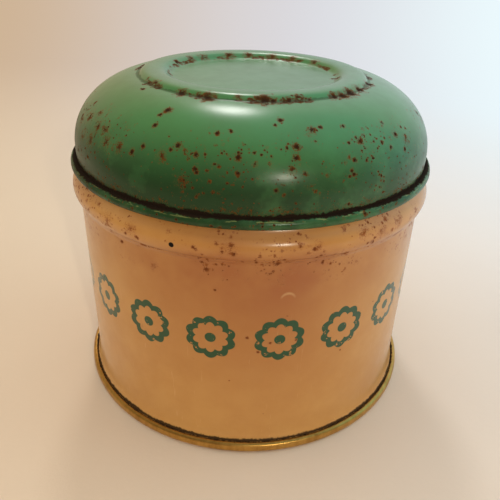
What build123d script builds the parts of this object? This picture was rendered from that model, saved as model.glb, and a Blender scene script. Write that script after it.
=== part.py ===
from build123d import *
import math
import os

# A round lidded tin that holds a nest of pastry cutters, as separate pressings.
# The tin is a body with a stop bead and a neck, a bottom whose edge is seamed round the
# body's foot, and a domed lid with a raised ring that slips over the neck.
# The nest is a set of fluted cutters in even steps, one inside the other on the floor.
# All share the tin's upright axis. The origin is at the middle of the face that the tin
# stands on, with +Z up, in millimetres.

# Tin body
tin_sheet = 0.3
body_radius = 44.5  # to the outside of the plain wall
plain_wall_height = 53.8  # from the table to the foot of the stop bead
bead_height = 7.2
bead_reach = 1.6  # how far the stop bead stands out from the wall
bead_flat_height = 2.4
neck_step = 0.7  # how far the neck stands in from the wall
neck_height = 5.0
hem_reach = 1.0  # the mouth's edge is folded inwards by this much
hem_height = 1.4
side_seam_width = 5.0
side_seam_depth = 0.6

# Bottom, with the seam that wraps the body's foot
seam_reach = 2.3  # how far the seam stands out from the plain wall
seam_height = 3.1
seam_bevel = 0.7
seam_sheet = 0.3
floor_rise = 2.2  # the panel's underside stands this far off the table
seam_play = 0.04  # between the body's foot and each side of its groove

# Lid
lid_sheet = 0.3
lid_play = 0.3  # between the neck and the skirt
lid_seat_play = 0.35  # between the stop bead and the lid's edge
curl_height = 2.5
curl_reach = 1.6  # how far the curled edge stands out from the skirt
curl_bevel = 0.75
skirt_height = 2.4  # the straight stretch between the curl and the dome
dome_rise = 15.5  # from the skirt to the foot of the raised ring
shoulder_pull = 8.8  # a longer pull at either end makes a fuller dome
crown_pull = 7.9
crown_slope = 6.5  # degrees, where the dome meets the raised ring
ring_radius = 28.6
ring_rise = 1.3
ring_side_width = 1.0
crest_width = 5.7
recess_side_width = 1.3
recess_depth = 1.7

# Cutters
cutter_sheet = 0.4
cutter_height = 57.0
nest_play = 1.4  # between the tin's mouth and the largest cutter
cutter_radius_step = 4.8
cutter_count = 6
flute_pitch = 11.0
flute_depth = 2.3
# Where each flute turns, as a share of its pitch and of its depth from the valley out
flute_shares = [(0.0, 0.0), (0.3, 1.0), (0.7, 1.0)]
cutter_hem_height = 2.6
cutter_hem_reach = 0.5  # how far the folded top edge stands out all round

# The dome is turned from this many straight runs, outside and inside, to keep it light
dome_runs = 10
dome_lining_runs = 3

# Heights and radii that follow from these
body_bore = body_radius - tin_sheet
bead_top = plain_wall_height + bead_height
neck_radius = body_radius - neck_step
neck_bore = neck_radius - tin_sheet
seam_radius = body_radius + seam_reach
mouth_height = bead_top + neck_height
floor_height = floor_rise + seam_sheet
skirt_bore = neck_radius + lid_play
skirt_radius = skirt_bore + lid_sheet
curl_foot = bead_top + lid_seat_play
curl_top = curl_foot + curl_height
skirt_top = curl_top + skirt_height
largest_cutter_radius = neck_bore - hem_reach - nest_play - cutter_hem_reach


def turn(outline):
    """Revolves a closed outline of (radius, height) points round the tin's axis."""
    return revolve(make_face(Plane.XZ * Polyline(*outline, close=True)), Axis.Z)


def make_tin_body():
    """Wall, stop bead, neck with its folded mouth, and the side seam inside the back."""
    bead_flank = (bead_height - bead_flat_height) / 2
    bead_radius = body_radius + bead_reach
    shell = turn([
        (body_bore, seam_sheet),
        (body_radius, seam_sheet),
        (body_radius, plain_wall_height),
        (bead_radius, plain_wall_height + bead_flank),
        (bead_radius, bead_top - bead_flank),
        (neck_radius, bead_top),
        (neck_radius, mouth_height),
        (neck_bore - hem_reach, mouth_height),
        (neck_bore, mouth_height - hem_height),
        (neck_bore, bead_top - tin_sheet),
        (body_bore, bead_top - tin_sheet),
    ])
    seam_arc = math.degrees(side_seam_width / body_bore)
    seam_depth_end = body_bore - side_seam_depth
    seam_middle = body_bore + tin_sheet / 2
    section = Polyline(
        (seam_depth_end, seam_height),
        (seam_middle, seam_height),
        (seam_middle, plain_wall_height),
        (seam_depth_end, plain_wall_height),
        close=True,
    )
    side_seam = revolve(make_face(Plane.XZ * section), Axis.Z, seam_arc)
    return shell + Rot(0, 0, (180 - seam_arc) / 2) * side_seam


def make_tin_bottom():
    """Recessed panel and the pressed seam, with the groove where the body's foot stands."""
    groove_bore = body_bore - seam_play
    groove_radius = body_radius + seam_play
    chuck_radius = groove_bore - seam_sheet
    return turn([
        (0, floor_rise),
        (chuck_radius, floor_rise),
        (chuck_radius, 0),
        (seam_radius, 0),
        (seam_radius, seam_height - seam_bevel),
        (groove_radius, seam_height),
        (groove_radius, seam_sheet),
        (groove_bore, seam_sheet),
        (groove_bore, floor_height),
        (0, floor_height),
    ])


def dome_points(runs, inset):
    """Points along the dome from the skirt to the raised ring, set in by some of the sheet."""
    slope = math.radians(crown_slope)
    ring_foot = skirt_top + dome_rise
    curve = Bezier(
        (skirt_radius, skirt_top),
        (skirt_radius, skirt_top + shoulder_pull),
        (ring_radius + crown_pull * math.cos(slope), ring_foot - crown_pull * math.sin(slope)),
        (ring_radius, ring_foot),
    )
    points = []
    for i in range(runs + 1):
        place, along = curve @ (i / runs), curve % (i / runs)
        points.append((place.X - inset * along.Y, place.Y + inset * along.X))
    return points


def make_lid():
    """Curled edge, skirt, dome, raised ring and recessed middle, drawn from one sheet."""
    dome = dome_points(dome_runs, 0)
    lining = dome_points(dome_lining_runs, lid_sheet)
    curl_radius = skirt_radius + curl_reach
    crest_height = dome[-1][1] + ring_rise
    crest_radius = ring_radius - ring_side_width
    crest_bore = crest_radius - crest_width
    recess_radius = crest_bore - recess_side_width
    recess_height = crest_height - recess_depth
    half_sheet = lid_sheet / 2
    return turn([
        (skirt_bore, curl_foot),
        (curl_radius, curl_foot + curl_bevel),
        (curl_radius, curl_top - curl_bevel),
        (skirt_radius, curl_top),
        *dome,
        (crest_radius, crest_height),
        (crest_bore, crest_height),
        (recess_radius, recess_height),
        (0, recess_height),
        (0, recess_height - lid_sheet),
        (recess_radius + half_sheet, recess_height - lid_sheet),
        (crest_bore + half_sheet, crest_height - lid_sheet),
        (crest_radius - half_sheet, crest_height - lid_sheet),
        *reversed(lining),
    ])


def fluted_face(radius, flutes):
    """A flat face with a scalloped edge, measured to the outside of its flutes."""
    points = []
    for flute in range(flutes):
        for pitch_share, depth_share in flute_shares:
            angle = 2 * math.pi * (flute + pitch_share) / flutes
            reach = radius - flute_depth * (1 - depth_share)
            points.append((reach * math.cos(angle), reach * math.sin(angle)))
    return make_face(Polyline(*points, close=True))


def make_cutter(radius):
    """One fluted band, open at both ends, with its top edge folded outwards."""
    flutes = round(2 * math.pi * radius / flute_pitch)
    bore = fluted_face(radius - cutter_sheet, flutes)
    band = extrude(fluted_face(radius, flutes) - bore, cutter_height)
    hem = extrude(fluted_face(radius + cutter_hem_reach, flutes) - bore, -cutter_hem_height)
    return Pos(0, 0, floor_height) * (band + Pos(0, 0, cutter_height) * hem)


def write(shape, name):
    export_step(shape, os.path.join("parts", name + ".step"))


os.makedirs("parts", exist_ok=True)
write(make_tin_body(), "tin_body")
write(make_tin_bottom(), "tin_bottom")
write(make_lid(), "lid")
for i in range(cutter_count):
    write(make_cutter(largest_cutter_radius - i * cutter_radius_step), f"fluted_cutter_{i + 1}")
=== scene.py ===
import bpy
import math
from mathutils import Matrix, Vector


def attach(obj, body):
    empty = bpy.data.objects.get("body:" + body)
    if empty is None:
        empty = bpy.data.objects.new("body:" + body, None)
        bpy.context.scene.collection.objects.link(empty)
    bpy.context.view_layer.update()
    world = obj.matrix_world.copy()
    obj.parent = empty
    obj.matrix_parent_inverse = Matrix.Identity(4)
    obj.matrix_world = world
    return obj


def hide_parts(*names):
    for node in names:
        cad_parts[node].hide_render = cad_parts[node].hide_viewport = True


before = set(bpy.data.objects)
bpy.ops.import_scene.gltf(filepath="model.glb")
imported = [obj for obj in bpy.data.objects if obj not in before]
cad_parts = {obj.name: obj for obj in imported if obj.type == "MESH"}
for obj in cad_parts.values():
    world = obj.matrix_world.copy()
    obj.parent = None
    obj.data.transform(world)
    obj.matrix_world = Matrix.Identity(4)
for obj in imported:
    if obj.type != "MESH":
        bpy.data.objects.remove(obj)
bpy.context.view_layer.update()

mm = 0.001
smoothAngle = math.radians(38)
mergeReach = 0.004 * mm
print("frame loaded:", len(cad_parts), "nodes")

cameraSet = {
    "distance": 139.75,  # in mm, in front of the tin's axis
    "height": 110.06,
    "focalPixels": 546.5,
    "framePixels": 500,
    "sensorWidth": 36,
    "clipStart": 0.005,
    "pitch": 29.39,
    "yaw": 0.264,
    "roll": -1.96,
}


def addCamera(s):
    pitch, yaw, roll = (math.radians(s[k]) for k in ("pitch", "yaw", "roll"))
    ahead = Vector((math.sin(yaw) * math.cos(pitch), math.cos(yaw) * math.cos(pitch), -math.sin(pitch)))
    level = Vector((math.cos(yaw), -math.sin(yaw), 0))
    down = ahead.cross(level)
    right = math.cos(roll) * level + math.sin(roll) * down
    up = math.sin(roll) * level - math.cos(roll) * down
    lens = bpy.data.cameras.new("photoCamera")
    lens.sensor_width = s["sensorWidth"]
    lens.lens = s["sensorWidth"] * s["focalPixels"] / s["framePixels"]
    lens.clip_start = s["clipStart"]
    camera = bpy.data.objects.new("photoCamera", lens)
    camera.matrix_world = Matrix((
        (right.x, up.x, -ahead.x, 0),
        (right.y, up.y, -ahead.y, -s["distance"] * mm),
        (right.z, up.z, -ahead.z, s["height"] * mm),
        (0, 0, 0, 1),
    ))
    bpy.context.scene.collection.objects.link(camera)
    bpy.context.scene.camera = camera


addCamera(cameraSet)
print("camera set")


# mesh helpers: every turned piece starts as a ring of edges and is pulled along its profile
def putAside():
    if bpy.context.mode != "OBJECT":
        bpy.ops.object.mode_set(mode="OBJECT")
    bpy.ops.object.select_all(action="DESELECT")


def pick(kind, action):
    bpy.ops.mesh.select_mode(type=kind)
    bpy.ops.mesh.select_all(action=action)


def faceOutwards():
    bpy.ops.mesh.select_all(action="SELECT")
    bpy.ops.mesh.normals_make_consistent(inside=False)
    bpy.ops.object.mode_set(mode="OBJECT")


def arcRun(centre, radius, start, end, steps):
    run = []
    for i in range(steps + 1):
        turn = math.radians(start + (end - start) * i / steps)
        run.append((centre[0] + radius * math.cos(turn), centre[1] + radius * math.sin(turn)))
    return run


def insetRun(run, by):  # the same line, set in under it by a sheet's thickness
    inner = []
    for i, (radius, height) in enumerate(run):
        ahead, behind = run[min(i + 1, len(run) - 1)], run[max(i - 1, 0)]
        along = Vector((ahead[0] - behind[0], ahead[1] - behind[1])).normalized()
        inner.append((radius + along.y * by, height - along.x * by))
    return inner


def startRing(name, radius, height, segments):
    putAside()
    bpy.ops.mesh.primitive_circle_add(vertices=segments, radius=radius * mm, location=(0, 0, height * mm))
    piece = bpy.context.object
    piece.name = name
    piece.data.name = name
    bpy.ops.object.transform_apply(location=True, rotation=True, scale=True)
    bpy.ops.object.mode_set(mode="EDIT")
    pick("EDGE", "SELECT")
    return piece


def pullRings(profile):
    radius, height = profile[0]
    for nextRadius, nextHeight in profile[1:]:
        rise = (nextHeight - height) * mm
        bpy.ops.mesh.extrude_edges_move(TRANSFORM_OT_translate={"value": (0, 0, rise)})
        widen = nextRadius / radius
        bpy.ops.transform.resize(value=(widen, widen, 1), center_override=(0, 0, 0))
        radius, height = nextRadius, nextHeight


def closePole():
    bpy.ops.mesh.extrude_edges_move(TRANSFORM_OT_translate={"value": (0, 0, 0)})
    bpy.ops.mesh.merge(type="CENTER")


def turnShell(name, profile, segments, poles):
    piece = startRing(name, *profile[0], segments)
    pullRings(profile)
    if poles:
        closePole()
        pick("VERT", "DESELECT")
        bpy.ops.mesh.select_non_manifold()  # the ring that the piece was started from
        closePole()
    bpy.ops.mesh.select_all(action="SELECT")
    bpy.ops.mesh.remove_doubles(threshold=mergeReach)
    faceOutwards()
    bpy.ops.object.shade_smooth_by_angle(angle=smoothAngle)
    return piece


def facesAxis(face):  # true where a face looks in towards the tin's axis rather than up or out
    away = Vector((face.center.x, face.center.y, 0))
    return away.length > 0 and face.normal.z < 0.45 and face.normal.dot(away.normalized()) < -0.3


# node helpers
def feed(tree, socket, value):
    if isinstance(value, bpy.types.NodeSocket):
        tree.links.new(value, socket)
    elif value is not None:
        socket.default_value = value


def calc(tree, operation, a, b=None, c=None, clamp=False):
    node = tree.nodes.new("ShaderNodeMath")
    node.operation = operation
    node.use_clamp = clamp
    for i, value in enumerate((a, b, c)):
        feed(tree, node.inputs[i], value)
    return node.outputs[0]


def times(tree, *values):
    product = values[0]
    for value in values[1:]:
        product = calc(tree, "MULTIPLY", product, value)
    return product


def vecCalc(tree, operation, a, b=None, scale=None):
    node = tree.nodes.new("ShaderNodeVectorMath")
    node.operation = operation
    feed(tree, node.inputs[0], a)
    if b is not None:
        feed(tree, node.inputs[1], b)
    if scale is not None:
        feed(tree, node.inputs["Scale"], scale)
    return node.outputs["Value"] if operation in ("DISTANCE", "LENGTH") else node.outputs[0]


def blendColours(tree, amount, a, b):
    node = tree.nodes.new("ShaderNodeMix")
    node.data_type = "RGBA"
    feed(tree, node.inputs[0], amount)
    feed(tree, node.inputs[6], a)
    feed(tree, node.inputs[7], b)
    return node.outputs[2]


def rescale(tree, value, low, high, toLow=0.0, toHigh=1.0):
    node = tree.nodes.new("ShaderNodeMapRange")
    node.interpolation_type = "SMOOTHSTEP"
    for i, v in enumerate((value, low, high, toLow, toHigh)):
        feed(tree, node.inputs[i], v)
    return node.outputs[0]


def noise(tree, vector, scale, detail=3.0, rough=0.55):
    node = tree.nodes.new("ShaderNodeTexNoise")
    feed(tree, node.inputs["Vector"], vector)
    node.inputs["Scale"].default_value = scale
    node.inputs["Detail"].default_value = detail
    node.inputs["Roughness"].default_value = rough
    return node


def highest(tree, values):
    top = values[0]
    for value in values[1:]:
        top = calc(tree, "MAXIMUM", top, value)
    return top


def newGroup(name, inputs, outputs):
    group = bpy.data.node_groups.new(name, "ShaderNodeTree")
    for label, kind, value in inputs:
        socket = group.interface.new_socket(name=label, in_out="INPUT", socket_type="NodeSocket" + kind)
        if value is not None:
            socket.default_value = value
    for label, kind in outputs:
        group.interface.new_socket(name=label, in_out="OUTPUT", socket_type="NodeSocket" + kind)
    return group, group.nodes.new("NodeGroupInput").outputs, group.nodes.new("NodeGroupOutput").inputs


def useGroup(tree, group, **values):
    node = tree.nodes.new("ShaderNodeGroup")
    node.node_tree = group
    for label, value in values.items():
        feed(tree, node.inputs[label], value)
    return node.outputs


def buildObjectInMm():  # Object coordinates in mm, with the radius, height and bearing there
    group, _, out = newGroup(
        "objectInMm", [],
        [("Place", "Vector"), ("Radius", "Float"), ("Height", "Float"), ("Bearing", "Float")],
    )
    place = vecCalc(group, "SCALE", group.nodes.new("ShaderNodeTexCoord").outputs["Object"], scale=1000.0)
    parts = group.nodes.new("ShaderNodeSeparateXYZ")
    feed(group, parts.inputs[0], place)
    x, y, z = parts.outputs
    feed(group, out["Place"], place)
    feed(group, out["Radius"], calc(group, "SQRT", calc(group, "MULTIPLY_ADD", x, x, times(group, y, y))))
    feed(group, out["Height"], z)
    feed(group, out["Bearing"], calc(group, "ARCTAN2", y, x))
    return group


def buildNearPatch():  # 1 at a patch's middle and 0 at its size, so the rust, from a half up, is half as wide
    group, inp, out = newGroup(
        "nearPatch",
        [("Place", "Vector", None), ("Centre", "Vector", None), ("Size", "Float", 1.0)],
        [("Near", "Float")],
    )
    away = vecCalc(group, "DISTANCE", inp["Place"], inp["Centre"])
    feed(group, out["Near"], calc(group, "SUBTRACT", 1.0, calc(group, "DIVIDE", away, inp["Size"]), clamp=True))
    return group


def buildNearCells():  # the same for scattered pits of many sizes, with some cells left empty
    group, inp, out = newGroup(
        "nearCells",
        [("Place", "Vector", None), ("Spacing", "Float", 5.0), ("Size", "Float", 1.0), ("Cover", "Float", 0.4)],
        [("Near", "Float")],
    )
    cells = group.nodes.new("ShaderNodeTexVoronoi")
    cells.inputs["Scale"].default_value = 1.0
    inCells = vecCalc(group, "SCALE", inp["Place"], scale=calc(group, "DIVIDE", 1.0, inp["Spacing"]))
    feed(group, cells.inputs["Vector"], inCells)
    chance = group.nodes.new("ShaderNodeSeparateColor")
    feed(group, chance.inputs[0], cells.outputs["Color"])
    away = calc(group, "MULTIPLY", cells.outputs["Distance"], inp["Spacing"])
    share = calc(group, "MULTIPLY_ADD", calc(group, "POWER", chance.outputs[1], 3.0), 0.7, 0.3)  # most are small
    size = times(group, inp["Size"], share)
    near = calc(group, "SUBTRACT", 1.0, calc(group, "DIVIDE", away, size), clamp=True)
    feed(group, out["Near"], calc(group, "MULTIPLY", near, calc(group, "LESS_THAN", chance.outputs[0], inp["Cover"])))
    return group


def buildCornerDirtAndShade():  # a ragged band along a corner that runs round the tin, thick and thin by turns, used for dirt and rust and, in some corners, for painted shade
    group, inp, out = newGroup(
        "cornerDirtAndShade",
        [("Place", "Vector", None), ("Radius", "Float", None), ("Height", "Float", None),
         ("At Radius", "Float", 0.0), ("At Height", "Float", 0.0),
         ("Reach", "Float", 0.5), ("Ragged", "Float", 0.5)],
        [("Mask", "Float")],
    )
    coarse = calc(group, "SUBTRACT", noise(group, inp["Place"], 0.2, 3.0, 0.6).outputs[0], 0.5)
    fine = calc(group, "SUBTRACT", noise(group, inp["Place"], 1.6, 4.0, 0.7).outputs[0], 0.5)
    uneven = times(group, calc(group, "MULTIPLY_ADD", coarse, 2.4, times(group, fine, 2.2)), inp["Ragged"])
    outward = calc(group, "SUBTRACT", inp["Radius"], inp["At Radius"])
    upward = calc(group, "SUBTRACT", inp["Height"], inp["At Height"])
    away = calc(group, "SQRT", calc(group, "MULTIPLY_ADD", outward, outward, times(group, upward, upward)))
    reach = calc(group, "MULTIPLY", inp["Reach"], calc(group, "ADD", 1.0, uneven))
    feed(group, out["Mask"], rescale(group, calc(group, "SUBTRACT", reach, away), -0.18, 0.16))
    return group


def buildRustCoat():  # ragged pits with small ones about them, and a stain in the paint round each
    group, inp, out = newGroup(
        "rustCoat",
        [("Place", "Vector", None), ("Paint", "Color", None), ("Near", "Float", 0.0), ("Stain", "Float", 0.5),
         ("Deep", "Color", (0.030, 0.012, 0.004, 1)), ("Loose", "Color", (0.140, 0.052, 0.009, 1)),
         ("Halo", "Color", (0.118, 0.100, 0.021, 1))],
        [("Color", "Color"), ("Mask", "Float")],
    )
    coarse = calc(group, "SUBTRACT", noise(group, inp["Place"], 0.9, 4.0, 0.65).outputs[0], 0.5)
    fine = calc(group, "SUBTRACT", noise(group, inp["Place"], 3.6, 3.0, 0.65).outputs[0], 0.5)
    uneven = calc(group, "MULTIPLY_ADD", coarse, 1.3, times(group, fine, 0.9))
    ragged = times(group, uneven, rescale(group, inp["Near"], 0.02, 0.3))
    level = calc(group, "ADD", inp["Near"], ragged)
    core = rescale(group, level, 0.5, 0.64)
    halo = calc(group, "MULTIPLY", rescale(group, level, 0.16, 0.6), inp["Stain"])
    loose = calc(group, "ADD", calc(group, "ADD", fine, coarse), calc(group, "MULTIPLY_ADD", level, -0.7, 0.5))
    tone = blendColours(group, rescale(group, loose, -0.12, 0.26), inp["Deep"], inp["Loose"])
    stained = blendColours(group, halo, inp["Paint"], inp["Halo"])
    feed(group, out["Color"], blendColours(group, core, stained, tone))
    feed(group, out["Mask"], core)
    return group


def buildEnamelCoat():  # slow changes of tone, fine dust and the orange peel of brushed enamel
    group, inp, out = newGroup(
        "enamelCoat",
        [("Place", "Vector", None), ("Paint", "Color", None), ("Dull", "Color", None),
         ("Mottle", "Float", 0.3), ("Peel", "Float", 0.03)],
        [("Color", "Color"), ("Roughness", "Float"), ("Relief", "Float")],
    )
    slow = noise(group, inp["Place"], 0.035, 3.0, 0.5).outputs[0]
    cloud = noise(group, inp["Place"], 0.16, 4.0, 0.6).outputs[0]
    both = calc(group, "MULTIPLY_ADD", slow, 0.6, times(group, cloud, 0.4))
    darkening = times(group, rescale(group, both, 0.36, 0.66), inp["Mottle"])
    feed(group, out["Color"], blendColours(group, darkening, inp["Paint"], inp["Dull"]))
    feed(group, out["Roughness"], rescale(group, cloud, 0.3, 0.7, 0.0, 0.1))
    peel = noise(group, inp["Place"], 0.32, 1.0, 0.5).outputs[0]
    feed(group, out["Relief"], calc(group, "MULTIPLY", peel, inp["Peel"]))
    return group


def buildFineStreaks():  # thin streaks, long in the direction in which the place is stretched least
    group, inp, out = newGroup(
        "fineStreaks",
        [("Place", "Vector", None), ("Stretch", "Vector", (1.0, 1.0, 1.0)),
         ("Low", "Float", 0.6), ("High", "Float", 0.66)],
        [("Mask", "Float")],
    )
    stretched = vecCalc(group, "MULTIPLY", inp["Place"], inp["Stretch"])
    streaks = noise(group, stretched, 1.0, 3.0, 0.6).outputs[0]
    feed(group, out["Mask"], rescale(group, streaks, inp["Low"], inp["High"]))
    return group


placeGroup = buildObjectInMm()
patchGroup = buildNearPatch()
cellGroup = buildNearCells()
dirtAndShadeGroup = buildCornerDirtAndShade()
rustGroup = buildRustCoat()
coatGroup = buildEnamelCoat()
streakGroup = buildFineStreaks()
print("node groups built")


def startMaterial(name):
    material = bpy.data.materials.new(name)
    material.use_nodes = True
    tree = material.node_tree
    shader = tree.nodes["Principled BSDF"]
    return material, tree, shader, useGroup(tree, placeGroup)


def reliefTo(tree, shader, height, distance, strength=1.0):
    bump = tree.nodes.new("ShaderNodeBump")
    bump.inputs["Strength"].default_value = strength
    bump.inputs["Distance"].default_value = distance * mm
    feed(tree, bump.inputs["Height"], height)
    feed(tree, shader.inputs["Normal"], bump.outputs[0])


def nearPatches(tree, place, patches):
    return [useGroup(tree, patchGroup, Place=place, Centre=p[:3], Size=p[3])["Near"] for p in patches]


def glossOver(tree, shader, s, bare):  # the enamel's own gloss, gone where rust or dirt lies on it
    shader.inputs["Specular IOR Level"].default_value = s["underGloss"]
    shader.inputs["Coat Roughness"].default_value = s["gloss"]
    feed(tree, shader.inputs["Coat Weight"], calc(tree, "SUBTRACT", 1.0, bare, clamp=True))


def nearCells(tree, place, spacing, size, cover):
    return useGroup(tree, cellGroup, Place=place, Spacing=spacing, Size=size, Cover=cover)["Near"]


def cornerDirtAndShade(tree, at, radius, height, reach, ragged):
    values = {"At Radius": radius, "At Height": height, "Reach": reach, "Ragged": ragged}
    return useGroup(tree, dirtAndShadeGroup, Place=at["Place"], Radius=at["Radius"], Height=at["Height"], **values)["Mask"]


def fineStreaks(tree, place, stretch, low, high):
    return useGroup(tree, streakGroup, Place=place, Stretch=stretch, Low=low, High=high)["Mask"]


# each cloud is the scale, detail and roughness of a noise, and each corner the radius, height, reach and raggedness
# of the band along it; the bands are dirt, rust and painted shade
lidPaint = {
    "paint": (0.054, 0.210, 0.060, 1),
    "dull": (0.056, 0.148, 0.041, 1),
    "mottle": 0.5,
    "roughness": 0.5,
    "underGloss": 0.12,
    "gloss": 0.27,
    # the colour that grime and painted shade give the lower dome
    "darkening": (0.010, 0.035, 0.010, 1),
    "shadeAndGrimeShare": 0.92,
    "shadeAndGrimeCloud": (0.14, 4.0, 0.65),
    "shadeAndGrimeLevels": (80.5, 67.0),  # none at the first height, all of it at the second
    "shadeAndGrimeSpots": [(-14.0, -40.0, 69.0, 34.0), (-36.0, -22.0, 72.0, 26.0)],  # where the painted shade and grime are darkest
    # x, y, z and size of the fainter stains
    "stains": [
        (-35.6, -19.8, 74.9, 3.2), (-38.2, -16.6, 73.2, 2.8), (-36.8, -21.6, 71.4, 3.0), (-33.4, -22.2, 76.6, 2.4),
        (-32.9, -25.2, 74.8, 3.0), (-30.8, -27.6, 74.9, 2.6), (-30.2, -30.2, 73.0, 3.2), (-34.8, -25.6, 71.8, 3.0),
        (-16.9, 13.2, 82.4, 2.6), (-13.7, 16.3, 82.3, 3.0), (-7.0, 20.2, 82.4, 3.4), (-1.5, 21.3, 82.4, 3.0),
        (5.0, 20.6, 82.4, 3.0), (10.6, 18.2, 82.4, 2.8), (16.2, 13.9, 82.4, 2.8),
        (-26.8, -33.2, 73.0, 2.6), (-13.0, -41.6, 69.5, 3.0), (-17.2, -38.6, 73.4, 2.4), (33.5, -25.6, 74.4, 2.4),
    ],
    "stainShare": 0.75,
    # colour of the dark groove, of the painted shade at the ring's foot and of the painted shadow under the curl
    "dirtAndShade": (0.017, 0.0095, 0.005, 1),
    # the curl's top edge: worn paint together with a painted highlight
    "wornEdgeAndHighlight": (0.30, 0.33, 0.10, 1),
    "edgeStreakStretch": (0.45, 0.45, 3.5),
    "edgeStreakLevels": (62.75, 63.0),
    "curlLevels": (63.4, 63.1),
    "groove": (44.6, 63.3, 0.76, 0.7),
    "creep": (44.3, 64.0, 1.2, 1.3),
    # painted shade, with some dirt, along the outer foot of the raised ring
    "ringShadeLine": (28.2, 81.8, 0.4, 1.0),
    # painted shadow under the curl, where it sits on the bead
    "underEdgeShadow": (44.8, 60.95, 0.42, 0.7),
    # the corners at the outer and inner foot of the raised ring, each with the strength of its rust
    "ringRust": [(28.3, 81.8, 0.9, 0.9, 0.64), (20.7, 81.8, 0.7, 0.9, 0.6)],
    "ringCloud": (0.16, 3.0, 0.6),
    "pitLevels": (80.5, 76.0),
    "pitCloud": (0.09, 3.0, 0.6),
    # spacing, size and cover of the pits where they are thick, where they are thin, by patches and on the curl
    "thickPits": [(2.6, 1.8, 0.4), (1.2, 1.05, 0.8), (0.75, 0.6, 0.65)],
    "thinPits": [(1.5, 0.85, 0.55), (0.8, 0.5, 0.3)],
    "patchPits": (0.95, 0.9, 0.6),
    "curlPits": (1.5, 1.2, 0.4),
    # x, y, z and size of the larger rust patches, all in mm
    "patches": [
        (1.1, -27.8, 82.7, 1.9), (2.5, -28.1, 82.4, 3.6), (4.1, -27.9, 82.2, 1.9), (-11.3, -25.7, 82.4, 1.8),
        (-9.4, -26.7, 82.4, 3.1), (-15.1, -23.9, 82.3, 2.5), (-21.6, -17.1, 83.0, 2.1), (-24.0, -13.4, 83.0, 1.2),
        (7.6, -27.1, 82.3, 1.9), (9.5, -26.1, 82.8, 2.0), (17.5, -22.3, 82.1, 2.2), (19.4, -20.9, 81.8, 2.5),
        (21.4, -18.6, 82.1, 3.2), (24.0, -15.1, 82.1, 2.8), (27.2, -8.6, 81.9, 2.5), (-2.8, -27.6, 82.9, 1.8),
        (-17.0, -30.2, 80.1, 1.7), (-18.5, -31.1, 79.3, 1.0), (-19.2, -33.2, 77.8, 1.2), (-24.0, -18.9, 81.4, 1.2),
        (-6.6, -37.6, 78.0, 1.1), (-3.9, -37.4, 78.4, 1.0), (-2.4, -41.5, 74.7, 1.5), (8.6, -40.7, 74.6, 1.5),
        (5.5, -34.4, 80.0, 1.3), (4.5, -35.7, 79.4, 0.8), (11.7, -35.5, 78.6, 1.6), (13.4, -34.4, 78.9, 1.0),
        (18.2, -32.5, 78.7, 1.0), (19.3, -35.4, 76.2, 0.8), (20.8, -33.8, 76.7, 0.8), (20.5, -37.2, 73.3, 1.2),
        (20.4, -38.5, 70.9, 1.0), (27.2, -26.9, 78.0, 1.0), (30.2, -27.2, 75.8, 1.4), (28.9, -30.5, 74.0, 1.1),
        (32.7, -27.6, 72.7, 1.0), (-21.3, -35.9, 74.4, 1.2), (-23.7, -35.5, 72.9, 1.4), (-27.6, -32.6, 73.6, 1.0),
        (-14.1, -38.4, 75.5, 1.4), (-10.4, -40.4, 74.5, 1.2), (-10.5, -41.8, 72.2, 1.3), (-2.3, -43.0, 72.1, 1.1),
        (5.0, -43.8, 69.1, 1.0), (-19.9, 7.7, 82.4, 1.8), (19.6, -1.9, 81.3, 1.4),
    ],
}


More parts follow.
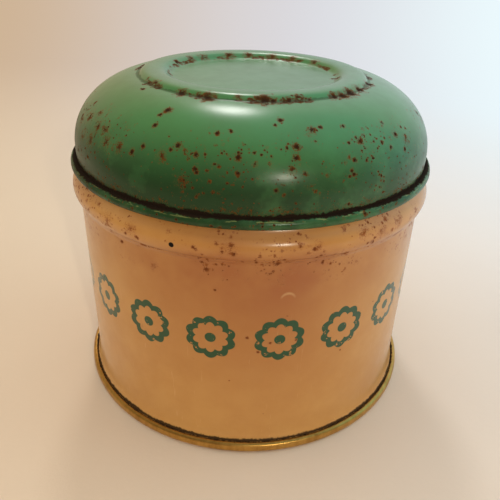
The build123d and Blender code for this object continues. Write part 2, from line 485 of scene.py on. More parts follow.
def makeGreenEnamel(s):
    material, tree, shader, at = startMaterial("greenEnamel")
    place, height = at["Place"], at["Height"]
    coat = useGroup(tree, coatGroup, Place=place, Paint=s["paint"], Dull=s["dull"], Mottle=s["mottle"], Peel=1.0)
    # painted shade, with grime, darkens the dome towards its foot, most at two spots on its front left
    cloud = noise(tree, place, *s["shadeAndGrimeCloud"]).outputs[0]
    nearDarkSpots = highest(tree, nearPatches(tree, place, s["shadeAndGrimeSpots"]))
    heavy = calc(tree, "ADD", rescale(tree, cloud, 0.3, 0.62, 0.42, 0.82), times(tree, nearDarkSpots, 0.55), clamp=True)
    low = times(tree, rescale(tree, height, *s["shadeAndGrimeLevels"]), heavy)
    # painted shade with grime: the lower dome's paint is darkened
    shadedAndGrimed = blendColours(tree, times(tree, low, s["shadeAndGrimeShare"]), coat["Color"], s["darkening"])
    # rust: the patches with small pits about them, pits below the crown, and both sides of the raised ring
    lower = rescale(tree, height, *s["pitLevels"])
    thick = times(tree, lower, rescale(tree, noise(tree, place, *s["pitCloud"]).outputs[0], 0.4, 0.58))
    near = [highest(tree, nearPatches(tree, place, s["patches"]))]
    near.append(times(tree, highest(tree, nearPatches(tree, place, s["stains"])), s["stainShare"]))
    near.append(times(tree, nearCells(tree, place, *s["patchPits"]), rescale(tree, near[0], 0.0, 0.25)))
    near += [times(tree, nearCells(tree, place, *pits), thick) for pits in s["thickPits"]]
    near += [times(tree, nearCells(tree, place, *pits), lower) for pits in s["thinPits"]]
    patchy = rescale(tree, noise(tree, place, *s["ringCloud"]).outputs[0], 0.44, 0.54)
    for *corner, share in s["ringRust"]:
        near.append(times(tree, cornerDirtAndShade(tree, at, *corner), patchy, share))
    onCurl = rescale(tree, height, *s["curlLevels"])
    near.append(times(tree, nearCells(tree, place, *s["curlPits"]), onCurl))
    near.append(times(tree, cornerDirtAndShade(tree, at, *s["creep"]), 0.42))  # creeping up from the groove
    stain = calc(tree, "MULTIPLY_ADD", low, -0.6, 0.75)
    rust = useGroup(tree, rustGroup, Place=place, Paint=shadedAndGrimed, Near=highest(tree, near), Stain=stain)
    # the curl's top edge is rubbed through in streaks and lightened there by a painted highlight; the groove is
    # painted dark, painted shade with some dirt runs along the ring's outer foot, and a painted shadow lies under the
    # curl
    worn = times(tree, fineStreaks(tree, place, s["edgeStreakStretch"], 0.55, 0.64), 0.45)
    rubbed = times(tree, worn, onCurl, rescale(tree, height, *s["edgeStreakLevels"]))
    # the light streaks on the curl's top edge are worn paint and painted highlight together
    edgeWornAndLit = blendColours(tree, rubbed, rust["Color"], s["wornEdgeAndHighlight"])
    ringShadeLine = times(tree, cornerDirtAndShade(tree, at, *s["ringShadeLine"]), 0.5)
    # a dark groove, with painted shade at the ring's foot and painted shadow under the curl
    dirtAndShade = highest(tree, [cornerDirtAndShade(tree, at, *s["groove"]), ringShadeLine, cornerDirtAndShade(tree, at, *s["underEdgeShadow"])])
    feed(tree, shader.inputs["Base Color"], blendColours(tree, dirtAndShade, edgeWornAndLit, s["dirtAndShade"]))
    matt = calc(tree, "MAXIMUM", rust["Mask"], dirtAndShade)
    roughness = calc(tree, "MULTIPLY_ADD", matt, 0.35, s["roughness"])
    feed(tree, shader.inputs["Roughness"], calc(tree, "ADD", roughness, coat["Roughness"]))
    glossOver(tree, shader, s, calc(tree, "MULTIPLY_ADD", low, 0.6, matt))
    relief = calc(tree, "SUBTRACT", times(tree, coat["Relief"], 0.06), times(tree, matt, 0.5))
    reliefTo(tree, shader, relief, 0.12)
    return material


bodyPaint = {
    "paint": (0.60, 0.305, 0.081, 1),
    "dull": (0.50, 0.222, 0.052, 1),
    "mottle": 0.6,
    # brown haze with painted shade, on the wall's front and under the bead
    "hazeAndShade": (0.36, 0.112, 0.026, 1),
    "hazeAndShadeSpot": (2.0, -44.0, 45.0, 42.0),
    "hazeAndShadeCloud": (0.07, 3.0, 0.6),
    "hazeAndShadeLevels": (34.0, 53.0),
    "motif": (0.006, 0.062, 0.019, 1),
    "deepRust": (0.160, 0.045, 0.013, 1),
    "looseRust": (0.310, 0.100, 0.025, 1),
    "rustHalo": (0.39, 0.145, 0.040, 1),
    # the colour of the scratches, also used for the painted highlight on the dent
    "scratchAndDentHighlight": (0.80, 0.52, 0.24, 1),
    "scratchStretch": (1.9, 1.9, 0.09),
    "scratchLevels": (44.0, 30.0),
    "roughness": 0.5,
    "underGloss": 0.12,
    "gloss": 0.24,
    "foot": (45.4, 2.9, 0.42, 0.9),
    "footDirt": (0.062, 0.032, 0.012, 1),
    "chipBlack": (0.012, 0.010, 0.008, 1),
    "wallRadius": 44.5,
    "motifCount": 18.0,
    "motifLobes": 10.0,
    "motifLevel": 33.5,
    "motifRadius": 4.6,
    "motifStroke": 1.7,
    "motifEye": 1.35,
    "motifWear": (0.75, 4.0, 0.7),
    "patches": [
        (-10.9, -44.8, 56.8, 0.9), (-10.5, -44.9, 56.5, 0.9), (-6.3, -45.7, 58.2, 1.1), (-5.1, -45.8, 56.5, 1.0),
        (-3.3, -46.0, 58.0, 1.4), (-2.7, -46.0, 56.2, 1.3), (-25.8, -38.0, 55.9, 0.8), (-23.1, -39.7, 55.9, 0.9),
        (-9.3, -43.5, 52.7, 0.9), (-8.5, -43.7, 51.1, 1.3), (-6.6, -44.0, 46.2, 0.6), (0.4, -44.5, 34.2, 0.7),
        (3.0, -44.4, 30.2, 0.7), (5.6, -44.1, 32.7, 0.7), (11.4, -43.0, 32.9, 0.6), (10.3, -44.9, 58.4, 0.8),
        (13.4, -44.1, 56.9, 1.0), (19.6, -40.4, 59.9, 1.2), (-27.6, -34.9, 52.2, 1.0), (22.6, -38.3, 26.6, 0.5),
    ],
    "stains": [
        (-3.8, -46.0, 57.0, 3.2), (-8.8, -43.7, 51.8, 3.0), (-30.5, -34.3, 57.0, 3.0), (14.0, -43.8, 57.2, 2.6),
        (24.0, -39.0, 58.5, 2.8), (-20.0, -40.0, 49.0, 2.2), (7.0, -44.0, 48.5, 2.2), (28.6, -36.0, 57.4, 3.0),
        (33.0, -32.0, 58.0, 2.8), (-24.6, -38.8, 57.6, 2.6),
    ],
    "stainShare": 0.6,
    "beadPits": [(0.8, 0.95, 0.85), (1.7, 1.7, 0.7)],
    "beadLevels": (42.0, 54.0),
    "beadCloud": (0.11, 3.0, 0.6),
    "wallPits": (4.2, 1.1, 0.3),
    "lipRustAndShade": (45.0, 54.0, 0.4, 1.2),
    "lipCloud": (0.13, 4.0, 0.65),
    "chip": (-15.5, -43.4, 56.4, 1.2),  # one chip down to black
    "dent": [(8.9, -43.6, 44.3, 3.2), (8.9, -43.6, 43.7, 3.4)],  # a crescent, between these two, lightened as a painted highlight and sunk a little in relief
}


def motifMask(tree, at, s):  # a row of plain scalloped rings, as cutters would stamp them
    turns = times(tree, at["Bearing"], s["motifCount"] / (2 * math.pi))
    pitch = 2 * math.pi * s["wallRadius"] / s["motifCount"]
    across = times(tree, calc(tree, "SUBTRACT", turns, calc(tree, "ROUND", turns)), pitch)
    above = calc(tree, "SUBTRACT", at["Height"], s["motifLevel"])
    away = calc(tree, "SQRT", calc(tree, "MULTIPLY_ADD", across, across, times(tree, above, above)))
    bearing = calc(tree, "ARCTAN2", above, across)
    lobes = calc(tree, "ABSOLUTE", calc(tree, "SINE", times(tree, bearing, s["motifLobes"] / 2)))
    edge = calc(tree, "MULTIPLY_ADD", lobes, 0.8, s["motifRadius"] - 0.4)
    offEdge = calc(tree, "ABSOLUTE", calc(tree, "SUBTRACT", away, edge))
    ring = rescale(tree, offEdge, s["motifStroke"] * 0.5 + 0.08, s["motifStroke"] * 0.5 - 0.08)
    eye = rescale(tree, away, s["motifEye"], s["motifEye"] - 0.15)
    return calc(tree, "MAXIMUM", ring, eye)


def makeCreamEnamel(s):
    material, tree, shader, at = startMaterial("creamEnamel")
    place, height = at["Place"], at["Height"]
    coat = useGroup(tree, coatGroup, Place=place, Paint=s["paint"], Dull=s["dull"], Mottle=s["mottle"], Peel=1.0)
    # brown haze with painted shade, darkening the wall's upper part below the bead and its front, less of it on the
    # bead
    uneven = rescale(tree, noise(tree, place, *s["hazeAndShadeCloud"]).outputs[0], 0.3, 0.7, 0.12, 0.48)
    above = times(tree, rescale(tree, height, *s["hazeAndShadeLevels"]), uneven)
    front = rescale(tree, nearPatches(tree, place, [s["hazeAndShadeSpot"]])[0], 0.0, 0.9, 0.0, 0.62)
    hazeAndShadeAmount = times(tree, calc(tree, "ADD", above, front, clamp=True), rescale(tree, height, 57.5, 53.5, 0.45, 1.0))
    hazedAndShaded = blendColours(tree, hazeAndShadeAmount, coat["Color"], s["hazeAndShade"])
    # fine scratches low on the wall, and one small dent whose crescent is lightened as a painted highlight
    fine = fineStreaks(tree, place, s["scratchStretch"], 0.66, 0.74)
    scratched = times(tree, fine, rescale(tree, height, *s["scratchLevels"]), 0.3)
    rubbed = blendColours(tree, scratched, hazedAndShaded, s["scratchAndDentHighlight"])
    dent, rim = nearPatches(tree, place, s["dent"])
    crescent = calc(tree, "SUBTRACT", rescale(tree, dent, 0.4, 0.6), rescale(tree, rim, 0.4, 0.6), clamp=True)
    withDentHighlight = blendColours(tree, times(tree, crescent, 0.42), rubbed, s["scratchAndDentHighlight"])
    # the stamped rings, worn through in places
    worn = rescale(tree, noise(tree, place, *s["motifWear"]).outputs[0], 0.62, 0.66)
    stamped = times(tree, motifMask(tree, at, s), calc(tree, "SUBTRACT", 1.0, worn))
    painted = blendColours(tree, stamped, withDentHighlight, s["motif"])
    # rust: thick on the bead, thin below it, and in broken strokes along the bead's lip, which are partly painted
    # shade under the bead
    thick = rescale(tree, noise(tree, place, *s["beadCloud"]).outputs[0], 0.38, 0.6)
    onBead = times(tree, rescale(tree, height, *s["beadLevels"]), thick)
    near = nearPatches(tree, place, s["patches"])
    near.append(times(tree, highest(tree, nearPatches(tree, place, s["stains"])), s["stainShare"]))
    near += [times(tree, nearCells(tree, place, *pits), onBead) for pits in s["beadPits"]]
    near.append(nearCells(tree, place, *s["wallPits"]))
    broken = rescale(tree, noise(tree, place, *s["lipCloud"]).outputs[0], 0.5, 0.6, 0.3, 0.66)
    # rust strokes along the lip, partly painted shade under the bead
    near.append(times(tree, cornerDirtAndShade(tree, at, *s["lipRustAndShade"]), broken))
    tones = {"Deep": s["deepRust"], "Loose": s["looseRust"], "Halo": s["rustHalo"]}
    rust = useGroup(tree, rustGroup, Place=place, Paint=painted, Near=highest(tree, near), Stain=0.75, **tones)
    foot = cornerDirtAndShade(tree, at, *s["foot"])
    chip = rescale(tree, nearPatches(tree, place, [s["chip"]])[0], 0.48, 0.56)
    footed = blendColours(tree, foot, rust["Color"], s["footDirt"])
    feed(tree, shader.inputs["Base Color"], blendColours(tree, chip, footed, s["chipBlack"]))
    matt = highest(tree, [rust["Mask"], foot, chip])
    roughness = calc(tree, "MULTIPLY_ADD", matt, 0.35, s["roughness"])
    feed(tree, shader.inputs["Roughness"], calc(tree, "ADD", roughness, coat["Roughness"]))
    glossOver(tree, shader, s, matt)
    sunk = calc(tree, "MULTIPLY_ADD", matt, 0.4, times(tree, crescent, 0.6))
    reliefTo(tree, shader, calc(tree, "SUBTRACT", times(tree, coat["Relief"], 0.08), sunk), 0.12)
    return material


tinFinish = {
    "bright": (0.56, 0.545, 0.50, 1),
    "tarnish": (0.26, 0.215, 0.155, 1),
    "gold": (0.60, 0.345, 0.085, 1),
    "goldDark": (0.36, 0.175, 0.035, 1),
    "goldRoughness": 0.28,
    "goldCorner": (45.4, 2.7, 0.4, 0.9),  # the rust between the seam and the wall
    "innerRoughness": 0.3,
    "cutterRoughness": 0.24,
    "grain": (0.9, 0.9, 0.12),  # upright streaks, as the sheet was drawn
    "grainCloud": (1.0, 4.0, 0.6),
    "slowCloud": (0.13, 4.0, 0.6),
    "pits": (3.4, 1.3, 0.3),
}


def makeTin(s, name, bright, dark, roughness, corner=None):
    material, tree, shader, at = startMaterial(name)
    place = at["Place"]
    spangle = noise(tree, vecCalc(tree, "MULTIPLY", place, s["grain"]), *s["grainCloud"]).outputs[0]
    cloud = noise(tree, place, *s["slowCloud"]).outputs[0]
    mottle = calc(tree, "MULTIPLY_ADD", spangle, 0.5, times(tree, cloud, 0.5))
    tone = blendColours(tree, rescale(tree, mottle, 0.38, 0.74), s[bright], s[dark])
    near = nearCells(tree, place, *s["pits"])
    if corner:
        near = calc(tree, "MAXIMUM", near, times(tree, cornerDirtAndShade(tree, at, *s[corner]), 0.8))
    rust = useGroup(tree, rustGroup, Place=place, Paint=tone, Near=near, Stain=0.4)
    feed(tree, shader.inputs["Base Color"], rust["Color"])
    feed(tree, shader.inputs["Metallic"], calc(tree, "MULTIPLY_ADD", rust["Mask"], -0.85, 0.9))
    dulled = calc(tree, "MULTIPLY_ADD", rust["Mask"], 0.4, s[roughness])
    feed(tree, shader.inputs["Roughness"], calc(tree, "MULTIPLY_ADD", cloud, 0.16, dulled))
    relief = calc(tree, "SUBTRACT", times(tree, spangle, 0.3), times(tree, rust["Mask"], 0.5))
    reliefTo(tree, shader, relief, 0.05)
    return material


greenEnamel = makeGreenEnamel(lidPaint)
creamEnamel = makeCreamEnamel(bodyPaint)
goldTin = makeTin(tinFinish, "goldTin", "gold", "goldDark", "goldRoughness", "goldCorner")
innerTin = makeTin(tinFinish, "innerTin", "bright", "tarnish", "innerRoughness")
cutterTin = makeTin(tinFinish, "cutterTin", "bright", "tarnish", "cutterRoughness")
print("materials built")

lidShape = {
    "segments": 192,
    "recessHeight": 81.35,
    "recessRadii": (0.6, 10, 18.4),
    # radius and height across the raised ring, from the recess to the foot of its outer side
    "ringProfile": [
        (19.5, 81.36), (20.1, 81.43), (20.55, 81.6), (20.95, 81.88), (21.3, 82.2), (21.65, 82.48), (22.1, 82.73),
        (22.7, 82.91), (23.5, 83.0), (24.6, 83.03), (25.5, 83.01), (26.2, 82.95), (26.75, 82.83), (27.15, 82.66),
        (27.45, 82.43), (27.7, 82.17), (27.9, 81.98), (28.15, 81.84), (28.4, 81.77),
    ],
    "ringRadius": 28.6,
    "ringFoot": 81.75,
    "skirtRadius": 44.4,
    "skirtTop": 66.25,
    "shoulderPull": 8.8,
    "crownPull": 7.9,
    "crownSlope": 6.5,
    "domeSteps": 44,
    "skirtProfile": [(44.4, 65.2), (44.35, 64.4), (44.3, 63.75)],
    "curlCentre": (44.72, 62.23),
    "curlRadius": 1.2,
    "curlTurn": (106, -121),
    "curlSteps": 22,
    "skirtBore": 44.1,
    "bareEdge": 44.2,
    "boreLevels": (61.4, 63.5, 65.0),
    "sheet": 0.3,
}


def domeRun(s, steps):
    slope = math.radians(s["crownSlope"])
    crown = Vector((s["ringRadius"], s["ringFoot"]))
    skirt = Vector((s["skirtRadius"], s["skirtTop"]))
    ends = [
        crown,
        crown + s["crownPull"] * Vector((math.cos(slope), -math.sin(slope))),
        skirt + Vector((0, s["shoulderPull"])),
        skirt,
    ]
    run = []
    for i in range(1, steps + 1):
        t = i / steps
        shares = [math.comb(3, k) * t ** k * (1 - t) ** (3 - k) for k in range(4)]
        spot = sum((end * share for end, share in zip(ends, shares)), Vector((0, 0)))
        run.append((spot.x, spot.y))
    return run


def makeLid(s):
    outside = [(radius, s["recessHeight"]) for radius in s["recessRadii"]] + s["ringProfile"]
    outside += domeRun(s, s["domeSteps"])
    edge = s["skirtProfile"] + arcRun(s["curlCentre"], s["curlRadius"], *s["curlTurn"], s["curlSteps"])
    edge += [(s["skirtBore"], level) for level in s["boreLevels"]]
    inside = insetRun(outside, s["sheet"])
    inside.reverse()
    piece = turnShell("lidShell", outside + edge + inside, s["segments"], poles=True)
    piece.data.materials.append(greenEnamel)
    piece.data.materials.append(innerTin)
    for face in piece.data.polygons:
        under = face.normal.z < -0.3 and math.hypot(face.center.x, face.center.y) < s["bareEdge"] * mm
        face.material_index = 1 if under or facesAxis(face) else 0
    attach(piece, "lid")
    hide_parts("lid")


makeLid(lidShape)
print("lid made")

bodyShape = {
    "segments": 192,
    "radius": 44.5,
    "bore": 44.2,
    "foot": 0.34,
    # radius and height where the wall's foot sweeps out over the seam
    "flareProfile": [
        (44.5, 2.25), (45.38, 2.3), (45.38, 2.75), (45.36, 2.95), (45.24, 3.15), (45.08, 3.4), (44.9, 3.8),
        (44.75, 4.3), (44.63, 5.0), (44.55, 6.0), (44.5, 7.4),
    ],
    "wallLevels": (12, 24, 36, 48, 52.4),
    # the same at the lip under the bead
    "lipProfile": [
        (44.53, 52.8), (44.62, 53.1), (44.76, 53.38), (44.92, 53.6), (45.0, 53.8), (45.03, 54.0), (45.14, 54.15),
    ],
    "beadCentre": (42.4, 56.55),
    "beadRadius": 3.7,
    "beadTurn": (-37, 50),
    "shoulderProfile": [(44.4, 59.9), (44.05, 60.4), (43.86, 60.9), (43.8, 61.4), (43.8, 63.6)],
    "neckRadius": 43.8,
    "mouth": 66.0,
    "mouthRoll": 0.62,
    "mouthInside": [(42.56, 65.1), (42.75, 64.85), (43.2, 64.7), (43.5, 64.5), (43.5, 61.2), (43.9, 60.2)],
    "beadSheet": 0.4,
    "beadInside": (46, -44),
    "beadFoot": (44.45, 53.7),
    "boreLevels": (53.0, 36, 18, 3.2),
    "paintEnd": 65.6,
    "seamLine": 0.24,
    "seamLineDepth": 0.2,
    "seamLineEnds": (2.9, 53.5),
    "seamSegments": 440,
    "seamWidth": 5.0,
    "seamDepth": 0.6,
    "seamRounding": 0.22,
    "seamFoot": 3.2,
    "seamTop": 53.0,
}


def makeBody(s):
    outside = [(s["radius"], s["foot"])] + s["flareProfile"] + [(s["radius"], level) for level in s["wallLevels"]]
    outside += s["lipProfile"] + arcRun(s["beadCentre"], s["beadRadius"], *s["beadTurn"], 16) + s["shoulderProfile"]
    roll = s["mouthRoll"]
    outside += arcRun((s["neckRadius"] - roll, s["mouth"] - roll), roll, 0, 180, 12)
    inside = s["mouthInside"] + arcRun(s["beadCentre"], s["beadRadius"] - s["beadSheet"], *s["beadInside"], 10)
    inside += [s["beadFoot"]] + [(s["bore"], level) for level in (*s["boreLevels"], s["foot"])]
    inside += [(s["radius"], s["foot"])]
    piece = turnShell("bodyShell", outside + inside, s["segments"], poles=False)
    piece.data.materials.append(creamEnamel)
    piece.data.materials.append(innerTin)
    for face in piece.data.polygons:
        face.material_index = 1 if facesAxis(face) and face.center.z < s["paintEnd"] * mm else 0
    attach(piece, "tin")
    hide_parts("tin_body")
    return piece


def pressSeamLine(piece, s):  # the fine line outside, where the wall's two ends hook together
    putAside()
    bpy.context.view_layer.objects.active = piece
    piece.select_set(True)
    bpy.ops.object.mode_set(mode="EDIT")
    pick("EDGE", "DESELECT")
    bpy.ops.object.mode_set(mode="OBJECT")
    foot, top = s["seamLineEnds"]
    for edge in piece.data.edges:
        ends = [piece.data.vertices[v].co for v in edge.vertices]
        atBack = all(abs(end.x) < 0.02 * mm and end.y > (s["radius"] - 0.02) * mm for end in ends)
        heights = sorted(end.z for end in ends)
        onWall = heights[0] > foot * mm and heights[1] < top * mm
        edge.select = atBack and onWall and heights[1] - heights[0] > 0.05 * mm
    bpy.ops.object.mode_set(mode="EDIT")
    bpy.ops.mesh.bevel(offset=s["seamLine"] * mm, segments=2, affect="EDGES")
    pick("VERT", "DESELECT")
    bpy.ops.object.mode_set(mode="OBJECT")
    for vertex in piece.data.vertices:
        co = vertex.co
        atBack = abs(co.x) < 0.05 * mm and co.y > (s["radius"] - 0.1) * mm
        vertex.select = atBack and s["seamFoot"] * mm < co.z < s["seamTop"] * mm
    bpy.ops.object.mode_set(mode="EDIT")
    bpy.ops.transform.translate(value=(0, -s["seamLineDepth"] * mm, 0))
    bpy.ops.object.mode_set(mode="OBJECT")


def makeSideSeam(s):  # the flat lock seam that stands in from the wall at the back
    piece = startRing("sideSeam", s["bore"], s["seamFoot"], s["seamSegments"])
    pick("VERT", "DESELECT")
    bpy.ops.object.mode_set(mode="OBJECT")
    reach = s["seamWidth"] / 2 * mm
    for vertex in piece.data.vertices:
        vertex.select = vertex.co.y < 0 or abs(vertex.co.x) > reach
    bpy.ops.object.mode_set(mode="EDIT")
    bpy.ops.mesh.delete(type="VERT")
    pick("EDGE", "SELECT")
    rise = (s["seamTop"] - s["seamFoot"]) * mm
    bpy.ops.mesh.extrude_edges_move(TRANSFORM_OT_translate={"value": (0, 0, rise)})
    faceOutwards()
    if piece.data.polygons[0].normal.y < 0:
        piece.data.flip_normals()
    folded = piece.modifiers.new("folded", "SOLIDIFY")
    folded.thickness = s["seamDepth"] * mm
    folded.offset = -1
    bpy.ops.object.modifier_apply(modifier="folded")
    rounded = piece.modifiers.new("rounded", "BEVEL")
    rounded.width = s["seamRounding"] * mm
    rounded.segments = 3
    rounded.limit_method = "ANGLE"
    bpy.ops.object.modifier_apply(modifier="rounded")
    bpy.ops.object.shade_smooth_by_angle(angle=smoothAngle)
    piece.data.materials.append(innerTin)
    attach(piece, "tin")


pressSeamLine(makeBody(bodyShape), bodyShape)
makeSideSeam(bodyShape)
print("tin body made")

bottomShape = {
    "segments": 192,
    "seamRadius": 46.8,
    "panelUnder": 2.2,
    "panelTop": 2.5,
    "panelRadii": (0.6, 14, 30),
    "panelEdge": 42.6,
    "chuckRadius": 43.86,
    "chuckBend": 0.9,
    "footBend": 0.6,
    "footEdge": 45.2,
    "seamBend": 1.15,
    "rimBend": 0.9,
    "rimLevel": 1.9,
    "rimLip": [(45.75, 2.74), (45.55, 2.62), (45.46, 2.4), (45.44, 2.15)],
    "grooveRadius": 44.54,
    "grooveBore": 44.16,
    "grooveFoot": 0.3,
    "grooveMouth": 2.12,
    "grooveBend": 0.5,
    "bendLevel": 1.9,
    "bareEdge": 43.9,
}


def makeBottom(s):
    under = [(radius, s["panelUnder"]) for radius in (*s["panelRadii"], s["panelEdge"])]
    chuck, foot, seam, rim, groove = (s[k] for k in ("chuckBend", "footBend", "seamBend", "rimBend", "grooveBend"))
    under += arcRun((s["chuckRadius"] - chuck, s["panelUnder"] - chuck), chuck, 90, 0, 5)
    under += arcRun((s["chuckRadius"] + foot, foot), foot, 180, 270, 5)
    ring = [(s["footEdge"], 0.0)] + arcRun((s["seamRadius"] - seam, seam), seam, -90, 0, 8)
    ring += arcRun((s["seamRadius"] - rim, s["rimLevel"]), rim, 0, 78, 8) + s["rimLip"]
    ring += [(s["grooveRadius"], s["grooveMouth"]), (s["grooveRadius"], s["grooveFoot"])]
    ring += [(s["grooveBore"], s["grooveFoot"]), (s["grooveBore"], s["bendLevel"])]
    ring += arcRun((s["grooveBore"] - groove, s["panelTop"] - groove), groove, 0, 90, 4)
    top = [(radius, s["panelTop"]) for radius in reversed(s["panelRadii"])]
    piece = turnShell("bottomShell", under + ring + top, s["segments"], poles=True)
    piece.data.materials.append(goldTin)
    piece.data.materials.append(innerTin)
    for face in piece.data.polygons:
        away = math.hypot(face.center.x, face.center.y)
        face.material_index = 1 if away < s["bareEdge"] * mm and face.normal.z > 0.3 else 0
    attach(piece, "tin")
    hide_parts("tin_bottom")


makeBottom(bottomShape)
print("tin bottom made")

cutterShape = {
    "count": 6,
    "largest": 40.6,
    "step": 4.8,
    "foot": 2.5,
    "height": 57.0,
    "sheet": 0.4,
    "flutePitch": 11.0,
    "fluteDepth": 2.3,
    "hemHeight": 2.6,
    "hemReach": 0.5,
    "facesPerFlute": 10,
    "crestFullness": 0.6,  # a lower power makes a fuller crest
    "bandLevels": (20, 40),
    "smoothAngle": 40,
}


def scallopRing(piece, radius, flutes, s):  # draws each step of the flutes in towards the axis
    steps = s["facesPerFlute"]
    for phase in range(steps):
        share = math.sin(math.pi * phase / steps) ** s["crestFullness"]
        bpy.ops.mesh.select_all(action="DESELECT")
        bpy.ops.object.mode_set(mode="OBJECT")
        for vertex in piece.data.vertices:
            turn = math.atan2(vertex.co.y, vertex.co.x) * flutes * steps / (2 * math.pi)
            vertex.select = round(turn) % steps == phase
        bpy.ops.object.mode_set(mode="EDIT")
        narrow = 1 - s["fluteDepth"] * (1 - share) / radius
        bpy.ops.transform.resize(value=(narrow, narrow, 1), center_override=(0, 0, 0))


def makeCutter(s, number):
    radius = s["largest"] - s["step"] * (number - 1)
    flutes = round(2 * math.pi * radius / s["flutePitch"])
    top = s["foot"] + s["height"]
    hem = top - s["hemHeight"]
    piece = startRing(f"cutterBand{number}", radius, s["foot"], flutes * s["facesPerFlute"])
    bpy.ops.mesh.select_mode(type="VERT")
    scallopRing(piece, radius, flutes, s)
    pick("EDGE", "SELECT")
    reach, bore = s["hemReach"], radius - s["sheet"]
    profile = [(radius, level) for level in (s["foot"], *s["bandLevels"], hem + 0.15)]
    profile += [(radius + reach * 0.7, hem), (radius + reach, hem + 0.4)]  # the folded top edge
    profile += [(radius + reach, top - 0.6), (radius + reach * 0.6, top - 0.12), (radius + 0.05, top)]
    profile += [(radius - s["sheet"] * 0.6, top - 0.08), (bore, top - 0.5)]
    profile += [(bore, level) for level in reversed(s["bandLevels"])]
    profile += [(bore, s["foot"] + 0.5), (radius - 0.12, s["foot"])]
    pullRings(profile)
    pick("EDGE", "DESELECT")
    bpy.ops.mesh.select_non_manifold()
    bpy.ops.mesh.bridge_edge_loops()
    faceOutwards()
    bpy.ops.object.shade_smooth_by_angle(angle=math.radians(s["smoothAngle"]))
    piece.data.materials.append(cutterTin)
    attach(piece, f"cutter_{number}")
    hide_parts(f"fluted_cutter_{number}")


for number in range(1, cutterShape["count"] + 1):
    makeCutter(cutterShape, number)
print("cutters made")

stageSet = {
    "floorSize": (5, 3),  # in m, with the tin at its middle
    "backHeight": 2,
    "backBend": 0.9,
    "floorWarm": (0.76, 0.605, 0.43, 1),
    "floorCool": (0.86, 0.85, 0.84, 1),
    "floorCloud": (0.55, 0.45, 0.38, 1),
    "clothGrain": 900.0,
    "dimFront": (0.14, 0.10, 0.07, 1),
    "sideLeft": (0.33, 0.28, 0.17, 1),
    "sideRight": (0.46, 0.86, 1.0, 1),
    "backWarm": (0.617, 0.451, 0.301, 1),
    "backMiddle": (0.708, 0.701, 0.737, 1),
    "backCool": (0.84, 0.956, 0.991, 1),
    "lightAim": 0.06,  # height in m that the lights point at
    "lights": [
        # name, direction from the tin, distance in m, size in m, power in W, colour, seen in reflections
        ("backWindow", (-0.08, 0.61, 0.79), 0.9, (0.12, 0.19), 1.6, (1.0, 0.98, 0.95), True),
        ("frontWindow", (0.32, -0.87, 0.36), 0.8, (0.02, 0.042), 1.35, (1.0, 0.93, 0.76), True),
        ("frontFill", (0.0, -0.80, 0.60), 1.4, (1.0, 1.0), 3.95, (1.0, 0.93, 0.84), False),
        ("rightFill", (0.85, 0.15, 0.45), 1.4, (1.0, 1.0), 4.2, (0.86, 0.96, 1.0), False),
        ("leftFill", (-0.85, 0.10, 0.45), 1.4, (1.0, 1.0), 4.5, (1.0, 0.88, 0.74), False),
        ("topFill", (0.0, 0.15, 1.0), 1.4, (1.2, 1.2), 5.0, (1.0, 0.96, 0.92), False),
    ],
    "worldFront": (0.46, 0.41, 0.36, 1),
    "worldBack": (0.86, 0.86, 0.86, 1),
    "worldStrength": 0.5,
}


def mixShaders(tree, amount, a, b):
    node = tree.nodes.new("ShaderNodeMixShader")
    feed(tree, node.inputs[0], amount)
    tree.links.new(a, node.inputs[1])
    tree.links.new(b, node.inputs[2])
    return node.outputs[0]


def makeCloth(s):
    material = bpy.data.materials.new("paleCloth")
    material.use_nodes = True
    tree = material.node_tree
    shader = tree.nodes["Principled BSDF"]
    parts = tree.nodes.new("ShaderNodeSeparateXYZ")
    place = tree.nodes.new("ShaderNodeTexCoord").outputs["Object"]
    feed(tree, parts.inputs[0], place)
    x, y, _ = parts.outputs
    side = rescale(tree, calc(tree, "MULTIPLY_ADD", y, 0.45, x), -0.12, 0.22)
    cloud = noise(tree, place, 14.0, 4.0, 0.6).outputs[0]
    tone = blendColours(tree, side, s["floorWarm"], s["floorCool"])
    cloth = blendColours(tree, times(tree, cloud, 0.12), tone, s["floorCloud"])
    rays = tree.nodes.new("ShaderNodeLightPath").outputs
    # the room in front is dim, so gloss picks up less of the floor there
    ahead = calc(tree, "MULTIPLY_ADD", calc(tree, "MINIMUM", x, 0.0), 0.8, y)
    dim = times(tree, rays["Is Glossy Ray"], rescale(tree, ahead, -0.16, -0.42))
    feed(tree, shader.inputs["Base Color"], blendColours(tree, dim, cloth, s["dimFront"]))
    shader.inputs["Roughness"].default_value = 0.8
    reliefTo(tree, shader, noise(tree, place, s["clothGrain"], 2.0, 0.6).outputs[0], 0.2, 0.3)
    # far from the tin the backdrop shows its own colour to the camera and in reflections
    depth = calc(tree, "MAXIMUM", calc(tree, "ADD", y, 0.3), 0.1)
    bearing = calc(tree, "DIVIDE", x, depth)
    glow = tree.nodes.new("ShaderNodeEmission")
    leftHalf = blendColours(tree, rescale(tree, bearing, -0.4, 0.12), s["backWarm"], s["backMiddle"])
    feed(tree, glow.inputs["Color"], blendColours(tree, rescale(tree, bearing, 0.02, 0.4), leftHalf, s["backCool"]))
    seen = highest(tree, [rays[kind] for kind in ("Is Camera Ray", "Is Glossy Ray", "Is Transmission Ray")])
    behind = calc(tree, "MULTIPLY_ADD", calc(tree, "MAXIMUM", x, 0.0), 0.7, y)
    far = times(tree, seen, rescale(tree, behind, 0.06, 0.45))
    surface = mixShaders(tree, far, shader.outputs[0], glow.outputs[0])
    tree.links.new(surface, tree.nodes["Material Output"].inputs["Surface"])
    return material


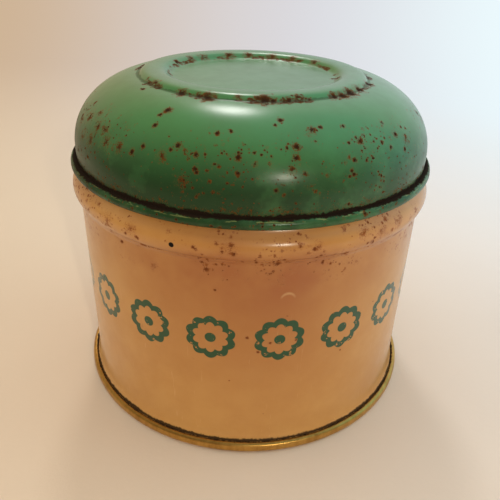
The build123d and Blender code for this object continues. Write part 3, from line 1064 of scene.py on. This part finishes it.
def makeFloor(s):
    putAside()
    bpy.ops.mesh.primitive_plane_add(size=1, location=(0, 0, -0.02 * mm))
    floor = bpy.context.object
    floor.name = "paleFloor"
    floor.scale = (*s["floorSize"], 1)
    bpy.ops.object.transform_apply(location=True, rotation=True, scale=True)
    bpy.ops.object.mode_set(mode="EDIT")
    pick("EDGE", "DESELECT")
    bpy.ops.object.mode_set(mode="OBJECT")
    for edge in floor.data.edges:  # the far edge is drawn up into a backdrop
        edge.select = min(floor.data.vertices[v].co.y for v in edge.vertices) > 1
    bpy.ops.object.mode_set(mode="EDIT")
    bpy.ops.mesh.extrude_edges_move(TRANSFORM_OT_translate={"value": (0, 0, s["backHeight"])})
    bpy.ops.object.mode_set(mode="OBJECT")
    bend = floor.modifiers.new("backCurve", "BEVEL")
    bend.width = s["backBend"]
    bend.segments = 16
    bend.limit_method = "ANGLE"
    bpy.ops.object.modifier_apply(modifier="backCurve")
    bpy.ops.object.shade_smooth()
    floor.data.materials.append(makeCloth(s))


def addLights(s):
    for name, toward, distance, size, power, colour, mirrored in s["lights"]:
        lamp = bpy.data.lights.new(name, "AREA")
        lamp.shape = "RECTANGLE"
        lamp.size, lamp.size_y = size
        lamp.energy = power
        lamp.color = colour
        holder = bpy.data.objects.new(name, lamp)
        away = Vector(toward).normalized()
        holder.location = Vector((0, 0, s["lightAim"])) + away * distance
        holder.rotation_euler = away.to_track_quat("Z", "Y").to_euler()
        holder.visible_glossy = mirrored
        bpy.context.scene.collection.objects.link(holder)


def makeWorld(s):
    world = bpy.data.worlds.new("studio")
    world.use_nodes = True
    tree = world.node_tree
    rays = tree.nodes.new("ShaderNodeLightPath").outputs
    parts = tree.nodes.new("ShaderNodeSeparateXYZ")
    feed(tree, parts.inputs[0], tree.nodes.new("ShaderNodeTexCoord").outputs["Generated"])
    x, y, _ = parts.outputs
    plain = tree.nodes["Background"]
    lit = blendColours(tree, rescale(tree, y, -0.6, 0.4), s["worldFront"], s["worldBack"])
    feed(tree, plain.inputs["Color"], lit)
    plain.inputs["Strength"].default_value = s["worldStrength"]
    # gloss picks up a room that is cool on the right, warm on the left and dim in front
    leftToRight = rescale(tree, x, -0.5, 0.5)
    mirrored, seen = (tree.nodes.new("ShaderNodeBackground") for _ in range(2))
    sides = blendColours(tree, leftToRight, s["sideLeft"], s["sideRight"])
    feed(tree, mirrored.inputs["Color"], blendColours(tree, rescale(tree, y, -0.75, 0.1), s["dimFront"], sides))
    feed(tree, seen.inputs["Color"], blendColours(tree, leftToRight, s["backWarm"], s["backCool"]))
    inGloss = mixShaders(tree, rays["Is Glossy Ray"], plain.outputs[0], mirrored.outputs[0])
    surface = mixShaders(tree, rays["Is Camera Ray"], inGloss, seen.outputs[0])
    tree.links.new(surface, tree.nodes["World Output"].inputs["Surface"])
    bpy.context.scene.world = world


makeFloor(stageSet)
addLights(stageSet)
makeWorld(stageSet)
bpy.context.scene.view_settings.view_transform = "Standard"
print("stage and lights set")
